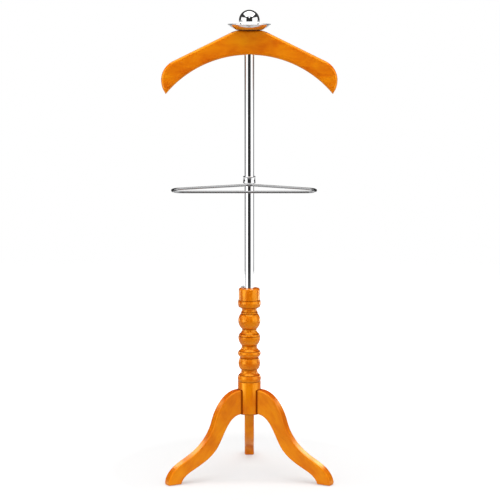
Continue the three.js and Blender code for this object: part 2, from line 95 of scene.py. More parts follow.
class Maker:
    # adds nodes to one tree
    def __init__(self, tree):
        self.tree = tree

    def node(self, kind, settings=None, values=(), out=0):
        made = self.tree.nodes.new("ShaderNode" + kind)
        for name, value in (settings or {}).items():
            if name == "stops":
                self.setStops(made.color_ramp, value)
            else:
                setattr(made, name, value)
        pairs = values.items() if isinstance(values, dict) else enumerate(values)
        for key, value in pairs:
            if isinstance(value, Wire):
                self.tree.links.new(value.socket, made.inputs[key])
            else:
                made.inputs[key].default_value = value
        return Wire(self, made.outputs[out]) if made.outputs else None

    def setStops(self, ramp, stops):
        while len(ramp.elements) > 1:
            ramp.elements.remove(ramp.elements[-1])
        ramp.elements[0].position = stops[0][0]
        ramp.elements[0].color = (*stops[0][1], 1)
        for place, color in stops[1:]:
            ramp.elements.new(place).color = (*color, 1)

    def noise(self, place, scale, detail, roughness=0.5, distortion=0.0):
        values = {"Vector": place, "Scale": scale, "Detail": detail, "Roughness": roughness,
                  "Distortion": distortion}
        return self.node("TexNoise", {}, values)

    def ramp(self, value, *stops):
        greys = [(place, (level, level, level)) for place, level in stops]
        return self.node("ValToRGB", {"stops": greys}, (value,))

    def colors(self, value, *stops):
        return self.node("ValToRGB", {"stops": stops}, (value,))

    def mapRange(self, value, fromMin, fromMax, toMin, toMax, smooth=False):
        settings = {"interpolation_type": "SMOOTHSTEP"} if smooth else {}
        values = {"Value": value, "From Min": fromMin, "From Max": fromMax, "To Min": toMin, "To Max": toMax}
        return self.node("MapRange", settings, values)

    def mix(self, factor, first, second):
        values = {0: factor, 6: withAlpha(first), 7: withAlpha(second)}
        return self.node("Mix", {"data_type": "RGBA"}, values, out=2)

    def bump(self, height, strength, distance):
        return self.node("Bump", {}, {"Strength": strength, "Distance": distance, "Height": height})


def withAlpha(color):
    return color if isinstance(color, Wire) else (*color, 1)


def newMaterial(name):
    material = bpy.data.materials.new(name)
    material.use_nodes = True
    material.node_tree.nodes.clear()
    return material, Maker(material.node_tree)


def finishMaterial(maker, values, mask=None, second=None):
    shader = maker.node("BsdfPrincipled", {}, values)
    if mask is not None:  # the second finish shows where the mask is 1
        other = maker.node("BsdfPrincipled", {}, second)
        shader = maker.node("MixShader", {}, (mask, shader, other))
    maker.node("OutputMaterial", {}, {"Surface": shader})


wood = {
    "dark": (0.66, 0.100, 0.0001),
    "middle": (0.78, 0.168, 0.0001),
    "pale": (0.86, 0.235, 0.0002),
    "pore": (0.50, 0.072, 0.0001),
    # the colour of the painted shade in joints and grooves
    "shadeColor": (0.17, 0.022, 0.001),
    "sheen": (1.0, 0.60, 0.05),  # the lacquer's golden gloss
    "figureScale": 60.0,
    "figureStretch": 0.2,
    "fineScale": 320.0,
    "blotchScale": 30.0,
    "blotchStretch": 0.6,
    "poreScale": 1500.0,
    "poreStretch": 0.03,
    "poreStrength": 0.22,
    "bump": 0.03,
    "bumpDistance": 0.0002,
    "roughness": 0.20,
}


def lacqueredWood(name, turns=(), seed=0.0, paintedShade=None):
    # turns bring the grain's direction onto the Z axis, one after the other
    # the last argument, if given, makes the mask where shade is painted in as a dark matt finish, in a joint
    # or a groove
    material, m = newMaterial(name)
    origin = m.node("TexCoord", {}, (), out="Object")
    place = origin
    for angles in turns:
        place = m.node("Mapping", {}, {"Vector": place, "Rotation": angles})

    def stretched(length, shift=(0, 0, 0)):
        return m.node("Mapping", {}, {"Vector": place, "Location": shift, "Scale": (1, 1, length)})

    along = stretched(wood["figureStretch"], (seed, seed, 0))
    figure = m.noise(along, wood["figureScale"], 4.0, 0.5, 0.8)
    fine = m.noise(along, wood["fineScale"], 2.0, 0.5)
    blotch = m.noise(stretched(wood["blotchStretch"]), wood["blotchScale"], 3.0, 0.5, 0.4)
    pores = m.noise(stretched(wood["poreStretch"], (seed, 0, 0)), wood["poreScale"], 1.0, 0.5)
    tone = 0.20 * figure + 0.10 * fine + 0.70 * blotch
    body = m.colors(tone, (0.34, wood["dark"]), (0.5, wood["middle"]), (0.66, wood["pale"]))
    poreMask = m.ramp(pores, (0.62, 0.0), (0.72, wood["poreStrength"]))
    lacquer = {
        "Base Color": m.mix(poreMask, body, wood["pore"]),
        "Roughness": wood["roughness"] + 0.08 * figure,
        "IOR": 2.1,
        "Specular IOR Level": 0.8,
        "Specular Tint": (*wood["sheen"], 1),
        "Coat Weight": 0.08,
        "Coat Roughness": 0.04,
        "Normal": m.bump(0.3 * fine + 0.7 * figure - 0.4 * poreMask, wood["bump"], wood["bumpDistance"]),
    }
    # a dark matt finish, painted where shade falls in joints and grooves
    shadeFinish = {"Base Color": (*wood["shadeColor"], 1), "Roughness": 0.9, "Specular IOR Level": 0.0}
    finishMaterial(m, lacquer, paintedShade(m, origin) if paintedShade else None, shadeFinish)
    return material


dowel = {
    "dark": (0.42, 0.26, 0.12),
    "pale": (0.62, 0.43, 0.23),
    "figureScale": 160.0,
    "roughness": 0.7,
}


def bareWood(name):
    material, m = newMaterial(name)
    place = m.node("TexCoord", {}, (), out="Object")
    figure = m.noise(place, dowel["figureScale"], 4.0, 0.6)
    finishMaterial(m, {
        "Base Color": m.colors(figure, (0.35, dowel["dark"]), (0.65, dowel["pale"])),
        "Roughness": dowel["roughness"] + 0.1 * figure,
        "Normal": m.bump(figure, 0.3, 0.0002),
    })
    return material


chrome = {
    "bright": 0.80,
    "roughness": 0.03,
    "smudges": 0.05,
    "hazeScale": 26.0,
    "speckScale": 900.0,
}


def polishedChrome(name, smudges=chrome["smudges"], bright=chrome["bright"]):
    material, m = newMaterial(name)
    place = m.node("TexCoord", {}, (), out="Object")
    haze = m.noise(place, chrome["hazeScale"], 3.0, 0.6, 0.5)
    specks = m.noise(place, chrome["speckScale"], 2.0, 0.5)
    mark = m.ramp(haze, (0.45, 0.0), (0.75, 1.0))
    clean = (bright, bright * 1.01, bright * 1.02)
    dulled = (bright * 0.95, bright * 0.95, bright * 0.96)
    finishMaterial(m, {
        "Base Color": m.mix(mark, clean, dulled),
        "Metallic": 1.0,
        "Roughness": chrome["roughness"] + smudges * mark,
        "Normal": m.bump(specks, 0.01, 0.00002),
    })
    return material


zinc = {
    "dark": (0.42, 0.43, 0.45),
    "pale": (0.60, 0.60, 0.58),
    "grainScale": 1200.0,
    "cloudScale": 90.0,
    "roughness": 0.3,
}


def zincSteel(name):
    material, m = newMaterial(name)
    place = m.node("TexCoord", {}, (), out="Object")
    grain = m.noise(place, zinc["grainScale"], 3.0, 0.6)
    cloud = m.noise(place, zinc["cloudScale"], 3.0, 0.6)
    finishMaterial(m, {
        "Base Color": m.mix(cloud, zinc["dark"], zinc["pale"]),
        "Metallic": 1.0,
        "Roughness": zinc["roughness"] + 0.2 * cloud,
        "Normal": m.bump(grain, 0.15, 0.0001),
    })
    return material


nylon = {
    "black": ((0.012, 0.012, 0.013), (0.03, 0.03, 0.03)),
    "ivory": ((0.58, 0.55, 0.48), (0.70, 0.68, 0.61)),
    "grainScale": 700.0,
    "cloudScale": 60.0,
    "roughness": 0.42,
}


def mouldedNylon(name, dark, pale):
    material, m = newMaterial(name)
    place = m.node("TexCoord", {}, (), out="Object")
    grain = m.noise(place, nylon["grainScale"], 3.0, 0.6)
    cloud = m.noise(place, nylon["cloudScale"], 2.0, 0.5)
    finishMaterial(m, {
        "Base Color": m.mix(cloud, dark, pale),
        "Roughness": nylon["roughness"] + 0.12 * grain,
        "Normal": m.bump(grain, 0.2, 0.0001),
    })
    return material


def toZ(direction):  # the turn that brings a direction onto Z, for a Mapping node
    return Vector(direction).rotation_difference(Vector((0, 0, 1))).to_euler()


hangerWood = lacqueredWood("hangerWood", [toZ((1, 0, 0))], seed=1.7)
chromeBright = polishedChrome("chromeBright")
chromeWorn = polishedChrome("chromeWorn", smudges=0.12)
chromeWire = polishedChrome("chromeWire", smudges=0.08, bright=0.38)
zincPlate = zincSteel("zincPlate")
dowelWood = bareWood("dowelWood")
blackNylon = mouldedNylon("blackNylon", *nylon["black"])
ivoryNylon = mouldedNylon("ivoryNylon", *nylon["ivory"])
print("materials made")


def lathe(points, steps=96, closed=False):
    # spins (radius, height) points round the Z axis
    bm = bmesh.new()
    verts = [bm.verts.new((radius, 0, height)) for radius, height in points]
    ends = verts[1:] + verts[:1] if closed else verts[1:]
    edges = [bm.edges.new(pair) for pair in zip(verts, ends)]
    bmesh.ops.spin(bm, geom=verts + edges, axis=(0, 0, 1), cent=(0, 0, 0), steps=steps,
                   angle=2 * pi, use_merge=True)
    bmesh.ops.remove_doubles(bm, verts=bm.verts, dist=0.0005)
    bmesh.ops.recalc_face_normals(bm, faces=bm.faces)
    return bm


def arcPoints(center, radius, start, end, steps):
    # points on part of a circle, by angles in degrees
    points = []
    for i in range(steps + 1):
        angle = radians(start + (end - start) * i / steps)
        points.append((center[0] + radius * cos(angle), center[1] + radius * sin(angle)))
    return points


def easedRing(bore, radius, low, high, ease):
    # the section of a flat ring whose outer corners are eased
    return [(bore, low), (radius - ease, low), (radius, low + ease),
            (radius, high - ease), (radius - ease, high), (bore, high)]


def turn(bm, angle, axis):
    bmesh.ops.rotate(bm, verts=bm.verts, cent=(0, 0, 0), matrix=Matrix.Rotation(radians(angle), 3, axis))


def move(bm, x, y, z):
    bmesh.ops.translate(bm, verts=bm.verts, vec=(x, y, z))


def joined(*parts):  # several bmeshes as one
    whole = bmesh.new()
    for part in parts:
        mesh = bpy.data.meshes.new("part")
        part.to_mesh(mesh)
        part.free()
        whole.from_mesh(mesh)
        bpy.data.meshes.remove(mesh)
    return whole


def combine(bm, other, operation):  # a boolean of two closed bmeshes
    objects = []
    for part in (bm, other):
        mesh = bpy.data.meshes.new("part")
        part.to_mesh(mesh)
        part.free()
        objects.append(bpy.data.objects.new("part", mesh))
        scene.collection.objects.link(objects[-1])
    knife = objects[0].modifiers.new("knife", "BOOLEAN")
    knife.operation = operation
    knife.solver = "EXACT"
    knife.object = objects[1]
    graph = bpy.context.evaluated_depsgraph_get()
    result = bpy.data.meshes.new_from_object(objects[0].evaluated_get(graph))
    done = bmesh.new()
    done.from_mesh(result)
    for thing in objects:
        mesh = thing.data
        bpy.data.objects.remove(thing)
        bpy.data.meshes.remove(mesh)
    bpy.data.meshes.remove(result)
    return done


def outlineOf(points):  # a closed outline in the XZ plane
    bm = bmesh.new()
    verts = [bm.verts.new((x, 0, z)) for x, z in points]
    for pair in zip(verts, verts[1:] + verts[:1]):
        bm.edges.new(pair)
    return bm


def board(bm, thickness, edgeRound, segments):
    # makes a closed outline a board with rounded edges
    face = bmesh.ops.contextual_create(bm, geom=bm.edges[:])["faces"][0]
    bmesh.ops.translate(bm, verts=bm.verts, vec=(0, -thickness / 2, 0))
    extruded = bmesh.ops.extrude_face_region(bm, geom=[face])
    backVerts = [part for part in extruded["geom"] if isinstance(part, bmesh.types.BMVert)]
    bmesh.ops.translate(bm, verts=backVerts, vec=(0, thickness, 0))
    rims = [edge for edge in bm.edges if abs(edge.verts[0].co.y - edge.verts[1].co.y) < 0.01]
    bmesh.ops.bevel(bm, geom=rims, offset=edgeRound, offset_type="OFFSET", affect="EDGES",
                    segments=segments, profile=0.5, material=-1, clamp_overlap=True)
    bmesh.ops.recalc_face_normals(bm, faces=bm.faces)
    return bm


def addPiece(name, bm, material, body, slot, *nodes, sharp=35, flatFaces=False):
    # the finished bmesh becomes a piece that stands for its CAD nodes
    bmesh.ops.transform(bm, matrix=toFrame, verts=bm.verts)
    mesh = bpy.data.meshes.new(name)
    bm.to_mesh(mesh)
    bm.free()
    mesh.shade_smooth()
    mesh.set_sharp_from_angle(angle=radians(sharp))
    mesh.materials.append(material)
    piece = bpy.data.objects.new(name, mesh)
    scene.collection.objects.link(piece)
    if flatFaces:
        weighted = piece.modifiers.new("flatFaces", "WEIGHTED_NORMAL")
        weighted.keep_sharp = True
    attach(piece, body)
    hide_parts(*nodes)


column = {
    "baseRadius": 29.8,
    "baseEase": 2.0,
    "baseLength": 85.0,
    "grooveDepth": 1.0,
    # what is turned above the base's groove, from the bottom up
    # to: the radius it reaches, length; coveIn and coveOut: lower radius, upper radius, length
    # bead: lower, upper and widest radius, length; ball: radius, reach below and above its middle
    # cut: a sharp corner, where a ring of shade is painted in
    "features": (
        ("bead", 29.6, 27.6, 30.2, 15), ("cut",),
        ("coveIn", 27, 20.9, 10.5), ("to", 20.9, 6), ("cut",),
        ("ball", 28.2, 14, 14.5), ("cut",),
        ("to", 23.4, 1.2), ("to", 24, 0.8), ("bead", 24.2, 27.6, 29.6, 16), ("cut",),
        ("coveIn", 26.6, 19.9, 11), ("to", 19.9, 4), ("cut",),
        ("ball", 28.4, 20.3, 4.2), ("cut",),
        ("to", 27.2, 0.3), ("bead", 27.2, 24.8, 26.8, 6), ("cut",),
        ("coveIn", 24, 18.9, 10), ("to", 18.9, 3), ("cut",),
        ("ball", 28.7, 20.9, 18.4), ("cut",),
        ("to", 21.6, 0.6), ("bead", 21.8, 20.6, 22, 4.3), ("cut",),
        ("to", 19.1, 4.2), ("to", 19.1, 2.6), ("coveOut", 19.1, 27.2, 6.5), ("cut",),
        ("bead", 27.4, 28.2, 29.6, 17.5), ("cut",),
    ),
    "topRadius": 27.0,
    "topEase": ((26.8, 0.9), (26.3, 0.8), (25, 0.8)),
    "socketRadius": 12.8,
    "socketDepth": 60.0,
    "socketEase": 0.6,
    "boreRadius": 4.5,
    "recessRadius": 17.0,
    "recessDepth": 62.0,
    "steps": 128,
    # painted shade at the column's foot and in its cut grooves
    "footShade": (3.2, 0.9),  # how wide and how strong
    "grooveShade": (1.5, 0.75),
}


class Turning:
    # climbs from the column's foot, one turned feature after another
    def __init__(self, radius, height):
        self.points = [(radius, height)]
        self.height = height
        self.cuts = []

    def cut(self):
        self.cuts.append(self.height)

    def to(self, radius, length):
        self.height += length
        self.points.append((radius, self.height))

    def curve(self, length, steps, radiusAt):
        for i in range(steps + 1):
            self.points.append((radiusAt(i / steps), self.height + length * i / steps))
        self.height += length

    def bead(self, low, high, widest, length):
        bulge = widest - (low + high) / 2
        self.curve(length, 14, lambda t: low + (high - low) * t + bulge * sin(pi * t))

    def coveIn(self, low, high, length):
        self.curve(length, 9, lambda t: low + (high - low) * sin(quarter * t))

    def coveOut(self, low, high, length):
        self.curve(length, 9, lambda t: high + (low - high) * cos(quarter * t))

    def ball(self, radius, below, above):
        start, end = degrees(asin(-below / radius)), degrees(asin(above / radius))
        self.points += arcPoints((0, self.height + below), radius, start, end, 20)
        self.height += below + above


def shadeInGrooves(marks):
    # soft rings of painted shade at the given heights, each with its width and strength
    def mask(m, origin):
        height = m.node("SeparateXYZ", {}, (origin,), out="Z") / mm
        total = 0.0
        for level, width, strength in marks:
            away = m.node("Math", {"operation": "ABSOLUTE"}, (height - level,))
            total = total + m.mapRange(away, 0.2, width, strength, 0.0)
        return m.node("Clamp", {}, (total,))

    return mask


def makeColumn():
    foot, top = span("turned_column")
    base = column["baseRadius"]
    ease = column["baseEase"]
    t = Turning(base - ease, foot)
    t.points += [(base - ease * (1 - sin(a)), foot + ease * (1 - cos(a))) for a in (0.4, 0.8, 1.2)]
    t.to(base, ease)
    t.to(base, column["baseLength"] - ease - 0.5)
    t.to(base - 0.2, 0.5)
    t.to(base - column["grooveDepth"], 1.0)
    t.cut()
    t.to(base - 0.4, 1.5)
    for feature, *sizes in column["features"]:
        getattr(t, feature)(*sizes)
    t.to(column["topRadius"], 0)
    t.to(column["topRadius"], top - t.height - sum(length for radius, length in column["topEase"]))
    for radius, length in column["topEase"]:
        t.to(radius, length)
    socket, bore, recess = column["socketRadius"], column["boreRadius"], column["recessRadius"]
    inner = [
        (socket + column["socketEase"], top),
        (socket, top - column["socketEase"]),
        (socket, top - column["socketDepth"]),
        (bore, top - column["socketDepth"]),
        (bore, foot + column["recessDepth"]),
        (recess, foot + column["recessDepth"]),
        (recess, foot),
    ]
    bm = lathe(t.points + inner, column["steps"], closed=True)
    # the foot and each cut get a ring of painted shade
    marks = [(foot, *column["footShade"])] + [(cut, *column["grooveShade"]) for cut in t.cuts]
    columnWood = lacqueredWood("columnWood", seed=0.3, paintedShade=shadeInGrooves(marks))
    addPiece("turnedColumn", bm, columnWood, "stand", "lacquered_wood", "turned_column", sharp=28)


capScrew = {
    "azimuth": 144.3,
    "distance": 19.7,
    "radius": 5.2,
    "height": 4.5,
    "rim": 0.5,
    "slot": (12.0, 1.1, 2.4),
    "slotTurn": 25.0,
}


def makeCapScrew():
    top = span("turned_column")[1]
    radius, rim = capScrew["radius"], capScrew["rim"]
    dome = [(0, top), (radius, top), (radius, top + rim)]
    for i in range(1, 13):
        angle = quarter * i / 12
        dome.append((radius * cos(angle), top + rim + (capScrew["height"] - rim) * sin(angle)))
    bm = lathe(dome, 48)
    slot = bmesh.new()
    bmesh.ops.create_cube(slot, size=1)
    bmesh.ops.scale(slot, verts=slot.verts, vec=capScrew["slot"])
    move(slot, 0, 0, top + capScrew["height"])
    bm = combine(bm, slot, "DIFFERENCE")
    turn(bm, capScrew["slotTurn"], "Z")
    move(bm, capScrew["distance"], 0, 0)
    turn(bm, capScrew["azimuth"], "Z")
    addPiece("columnTopScrew", bm, zincPlate, "stand", "zinc_steel", "column_top_screw")


makeColumn()
makeCapScrew()
print("column turned")

leg = {
    "reach": 244.5,
    "soleLength": 37.0,
    "thickness": 25.0,
    "rootLap": 10.0,
    "rootDepth": 64.0,
    "rootEase": 1.6,
    "rootGap": 0.15,
    "edgeRound": 3.2,
    "toeHeight": 6.0,
    "toeRound": 1.5,
    "pull": 0.36,
    # stations: share of the reach, share of the height, and the way the edge runs there
    "knee": (0.363, 0.664, -74),
    "ankle": (0.75, 0.27, -26),
    "instep": (0.63, 0.16, 154),
    "calf": (0.304, 0.403, 120),
    "grain": (0.66, 0, -0.75),
    # where shade is painted into the joint beside the column
    "paintedShade": (32.6, 36.4),  # the joint's dark line, by distance from the pole's axis
    "sides": {"FrontLeft": ("front_left", 210), "FrontRight": ("front_right", 330), "Back": ("back", 90)},
}

glide = {
    "radius": 9.0,
    "thickness": 3.0,
    "nailHole": 2.2,
    "nailDepth": 0.6,
    "play": 0.3,
}


def bezier(start, end, steps):
    # points between two stations, each a place and the way the edge runs there
    pull = leg["pull"] * hypot(end[0] - start[0], end[1] - start[1])
    handles = [Vector(start[:2]), Vector(start[:2]), Vector(end[:2]), Vector(end[:2])]
    handles[1] += pull * Vector((cos(radians(start[2])), sin(radians(start[2]))))
    handles[2] -= pull * Vector((cos(radians(end[2])), sin(radians(end[2]))))
    points = []
    for i in range(1, steps + 1):
        t = i / steps
        weights = ((1 - t) ** 3, 3 * t * (1 - t) ** 2, 3 * t * t * (1 - t), t ** 3)
        points.append(tuple(sum((w * h for w, h in zip(weights, handles)), Vector((0, 0)))))
    return points


def legOutline(sole, top):
    base = column["baseRadius"]
    reach = leg["reach"]

    def station(name):
        out, up, angle = leg[name]
        return base + out * (reach - base), up * top, angle

    crown = (base, top, 0)
    toe = (reach, sole + leg["toeHeight"], -80)
    heel = (reach - leg["soleLength"], sole, 107)
    root = (base, top - leg["rootDepth"], 178)
    points = [(base - leg["rootLap"], top), crown[:2]]
    points += bezier(crown, station("knee"), 12)
    points += bezier(station("knee"), station("ankle"), 12)
    points += bezier(station("ankle"), toe, 9)
    points += [(reach - leg["toeRound"], sole), heel[:2]]
    points += bezier(heel, station("instep"), 7)
    points += bezier(station("instep"), station("calf"), 12)
    points += bezier(station("calf"), root, 12)
    points.append((base - leg["rootLap"], root[1]))
    return points


def shadeAtRoot(m, origin):
    # painted shade on the leg's first millimetres beside the column
    fromAxis = m.node("VectorMath", {"operation": "SUBTRACT"}, (origin, (axisX, axisY, 0)))
    flat = m.node("VectorMath", {"operation": "MULTIPLY"}, (fromAxis, (1, 1, 0)))
    radius = m.node("VectorMath", {"operation": "LENGTH"}, (flat,), out="Value")
    start, end = leg["paintedShade"]
    return m.mapRange(radius, start * mm, end * mm, 1.0, 0.0)


def makeLeg(side, nodeEnd, azimuth):
    sole, top = span("leg_" + nodeEnd)
    glidePlace = leg["reach"] - leg["soleLength"] / 2
    bm = board(outlineOf(legOutline(sole, top)), leg["thickness"], leg["edgeRound"], 5)
    wall = column["baseRadius"] + leg["rootGap"]
    post = lathe([(0, -20), (wall, -20), (wall, top + 20), (0, top + 20)], 192)
    hole, ceiling = glide["radius"] + glide["play"], glide["thickness"] + glide["play"]
    glideSeat = lathe([(0, -5), (hole, -5), (hole, ceiling), (0, ceiling)], 64)
    move(glideSeat, glidePlace, 0, 0)
    bm = combine(bm, joined(post, glideSeat), "DIFFERENCE")
    # ease the edges that the column's wall cut, which makes the joint's narrow V
    corner = [e for e in bm.edges if all(abs(hypot(v.co.x, v.co.y) - wall) < 0.05 for v in e.verts)
              and any(f.normal.x > -0.5 for f in e.link_faces)]
    bmesh.ops.bevel(bm, geom=corner, offset=leg["rootEase"], offset_type="OFFSET", affect="EDGES",
                    segments=2, profile=0.5, material=-1, clamp_overlap=True)
    turn(bm, azimuth, "Z")
    # the grain runs from the root down to the toe
    turns = [Matrix.Rotation(radians(-azimuth), 3, "Z").to_euler(), toZ(leg["grain"])]
    legWood = lacqueredWood("legWood" + side, turns, seed=azimuth / 90, paintedShade=shadeAtRoot)
    addPiece("leg" + side, bm, legWood, "stand", "lacquered_wood", "leg_" + nodeEnd, flatFaces=True)


def makeGlide(side, nodeEnd, azimuth):
    radius, thickness = glide["radius"], glide["thickness"]
    nailHole, nailDepth = glide["nailHole"], glide["nailDepth"]
    pad = lathe([(0, nailDepth), (nailHole, nailDepth), (nailHole + 0.4, 0), (radius - 1, 0),
                 (radius - 0.3, 0.3), (radius, 1), (radius, thickness), (0, thickness)], 48)
    move(pad, leg["reach"] - leg["soleLength"] / 2, 0, 0)
    turn(pad, azimuth, "Z")
    addPiece("glide" + side, pad, ivoryNylon, "stand", "pale_nylon", "glide_" + nodeEnd)


for side, (nodeEnd, azimuth) in leg["sides"].items():
    makeLeg(side, nodeEnd, azimuth)
    makeGlide(side, nodeEnd, azimuth)
print("legs cut")

pole = {"radius": 12.5, "bore": 11.3, "ease": 0.3}


def makePole():
    ring = easedRing(pole["bore"], pole["radius"], *span("pole"), pole["ease"])
    addPiece("poleTube", lathe(ring, 128, closed=True), chromeBright, "stand", "chrome", "pole")


makePole()

hanger = {
    "halfWidth": 225.2,
    "thickness": 30.0,
    "edgeRound": 7.0,
    "crownHalfWidth": 34.0,
    "crownEase": 14.0,
    "slope": 26.1,
    "depth": 62.5,
    "shoulderRadius": 53.0,
    "tipRadius": 60.0,
    "archRadius": 278.0,
    "socketRadius": 12.8,
    "socketGap": 0.3,
    "studHole": 4.5,
}


def lowerCrossing(a, b):
    # the lower place where two circles (x, z, radius) cross
    reach = hypot(b[0] - a[0], b[1] - a[1])
    along = (a[2] ** 2 - b[2] ** 2 + reach ** 2) / (2 * reach)
    aside = sqrt(a[2] ** 2 - along ** 2)
    ux, uz = (b[0] - a[0]) / reach, (b[1] - a[1]) / reach
    first = (a[0] + along * ux + aside * uz, a[1] + along * uz - aside * ux)
    second = (a[0] + along * ux - aside * uz, a[1] + along * uz + aside * ux)
    return min(first, second, key=lambda point: point[1])


def hangerOutline(crown):
    h = hanger
    slope = radians(h["slope"])
    arch = crown - h["depth"]
    shoulderX = h["halfWidth"] - h["shoulderRadius"]
    drop = h["shoulderRadius"] + (shoulderX - h["crownHalfWidth"]) * sin(slope)
    shoulderZ = crown - drop / cos(slope)
    endCircle = (h["halfWidth"] - h["tipRadius"], shoulderZ, h["tipRadius"])
    archCircle = (0, arch - h["archRadius"], h["archRadius"])
    tip = lowerCrossing(endCircle, archCircle)
    half = [(0, crown)]
    # the crown's corner is eased by a short curve
    corner = Vector((h["crownHalfWidth"], crown))
    before = corner - Vector((h["crownEase"], 0))
    after = corner + h["crownEase"] * Vector((cos(slope), -sin(slope)))
    for i in range(9):
        t = i / 8
        half.append(tuple(before.lerp(corner, t).lerp(corner.lerp(after, t), t)))
    half += arcPoints((shoulderX, shoulderZ), h["shoulderRadius"], 90 - h["slope"], 0, 24)
    # the curves stop short of the tip, so that the rounded edge has room there
    endAngle = degrees(asin((tip[1] - shoulderZ) / h["tipRadius"]))
    half += arcPoints(endCircle[:2], h["tipRadius"], endAngle / 6, endAngle * 2 / 3, 4)
    half.append(tip)
    archAngle = degrees(asin(tip[0] / h["archRadius"]))
    half += arcPoints(archCircle[:2], h["archRadius"], 90 - archAngle * 13.2 / 14, 90, 40)
    return half + [(-x, z) for x, z in reversed(half[1:-1])]


def makeHanger():
    crown = span("coat_hanger")[1]
    bm = board(outlineOf(hangerOutline(crown)), hanger["thickness"], hanger["edgeRound"], 8)
    socket, stud = hanger["socketRadius"], hanger["studHole"]
    ceiling = span("pole")[1] + hanger["socketGap"]
    floor, above = ceiling - 60, crown + 9  # well past the board on both sides
    seat = lathe([(0, floor), (socket, floor), (socket, ceiling),
                  (stud, ceiling), (stud, above), (0, above)], 64)
    bm = combine(bm, seat, "DIFFERENCE")
    addPiece("hangerBoard", bm, hangerWood, "hanger", "lacquered_wood", "coat_hanger", flatFaces=True)


makeHanger()
print("hanger shaped")

dish = {
    "floorRadius": 36.0,
    "rimRadius": 55.0,
    "sheet": 1.0,
    "rimBead": 0.9,
    "hole": 4.5,
    "flare": 0.78,  # the straight share of the wall's rise; the rest curls up at the rim
}


def makeDish():
    foot, rim = span("accessory_dish")
    floor, sheet, bead = dish["floorRadius"], dish["sheet"], dish["rimBead"]
    flare, curl = dish["flare"], 1 - dish["flare"]
    rise = rim - foot - 2 * bead
    run = dish["rimRadius"] - bead - floor
    under, over = [], []
    for i in range(17):
        t = i / 16
        lift = rise * (flare * t + curl * t ** 4)
        steepness = rise * (flare + 4 * curl * t ** 3)
        slope = atan2(steepness * (0.3 + 0.7 * min(1, 3 * t)), run)
        under.append((floor + run * t, foot + lift))
        over.append((floor + run * t - sheet * sin(slope), foot + lift + sheet * cos(slope)))
    edge = arcPoints((dish["rimRadius"] - bead, rim - bead), bead, -60, 200, 10)
    profile = [(dish["hole"], foot)] + under + edge + over[::-1] + [(dish["hole"], foot + sheet)]
    addPiece("dishSheet", lathe(profile, 160, closed=True), chromeBright, "hanger", "chrome",
             "accessory_dish", sharp=50)


finial = {
    "radius": 26.4,
    "studHole": 4.3,
    "studDepth": 20.0,
    "footEase": 0.8,
}


def makeBall():
    seat, top = span("finial_ball")
    radius, hole = finial["radius"], finial["studHole"]
    start = degrees(asin((seat - (top - radius)) / radius))
    sphere = arcPoints((0, top - radius), radius, start + 2, 90, 48)
    sphere[-1] = (0, top)
    foot = radius * cos(radians(start)) - finial["footEase"]
    ceiling = seat + finial["studDepth"]
    profile = [(0, ceiling), (hole, ceiling), (hole, seat), (foot, seat)] + sphere
    addPiece("finialBall", lathe(profile, 128), chromeBright, "finial", "chrome", "finial_ball")


washer = {"radius": 33.0, "hole": 4.5, "ease": 0.3}


def makeWasher():
    ring = easedRing(washer["hole"], washer["radius"], *span("dish_washer"), washer["ease"])
    addPiece("dishWasher", lathe(ring, 64, closed=True), blackNylon, "hanger", "dark_nylon", "dish_washer")


makeDish()
makeBall()
makeWasher()
print("dish and finial spun")

collar = {
    "radius": 16.2,
    "bore": 14.3,
    "boreEase": 0.4,
    "rimBead": 0.5,
    "topRim": 1.2,
    "bossRadius": 6.0,
    "bossLength": 7.0,
    "screwHole": 2.8,
}


def makeCollar():
    foot, top = span("bar_collar")
    radius, bore, ease, bead = collar["radius"], collar["bore"], collar["boreEase"], collar["rimBead"]
    waist = radius - bead
    profile = [(bore, foot + ease), (bore + ease, foot)]
    profile += arcPoints((waist, foot + bead), bead, -90, 60, 5)
    profile += [(waist, foot + 1.3), (waist, top - 2 * collar["topRim"])]
    profile += arcPoints((waist, top - collar["topRim"]), bead, -60, 60, 5)
    profile += [(waist - 0.1, top - 0.5), (waist - 0.6, top), (bore + ease, top), (bore, top - ease)]
    ring = lathe(profile, 128, closed=True)
    hole, outside = collar["screwHole"], collar["bossRadius"]
    start, end = bore + 0.5, radius + collar["bossLength"]
    boss = lathe([(hole, start), (outside, start), (outside, end - 0.5), (outside - 0.5, end), (hole, end)],
                 64, closed=True)
    turn(boss, -90, "X")
    move(boss, 0, 0, (foot + top) / 2)
    addPiece("barCollar", combine(ring, boss, "UNION"), chromeBright, "bar", "chrome", "bar_collar")


thumbScrew = {
    "shank": 2.5,
    "shankEase": 0.5,
    "gripRadius": 7.2,
    "gripLength": 8.0,
    "gripEase": 0.8,
    "dimple": 3.2,
    "knurls": 36,
    "knurlHeight": 0.7,
}


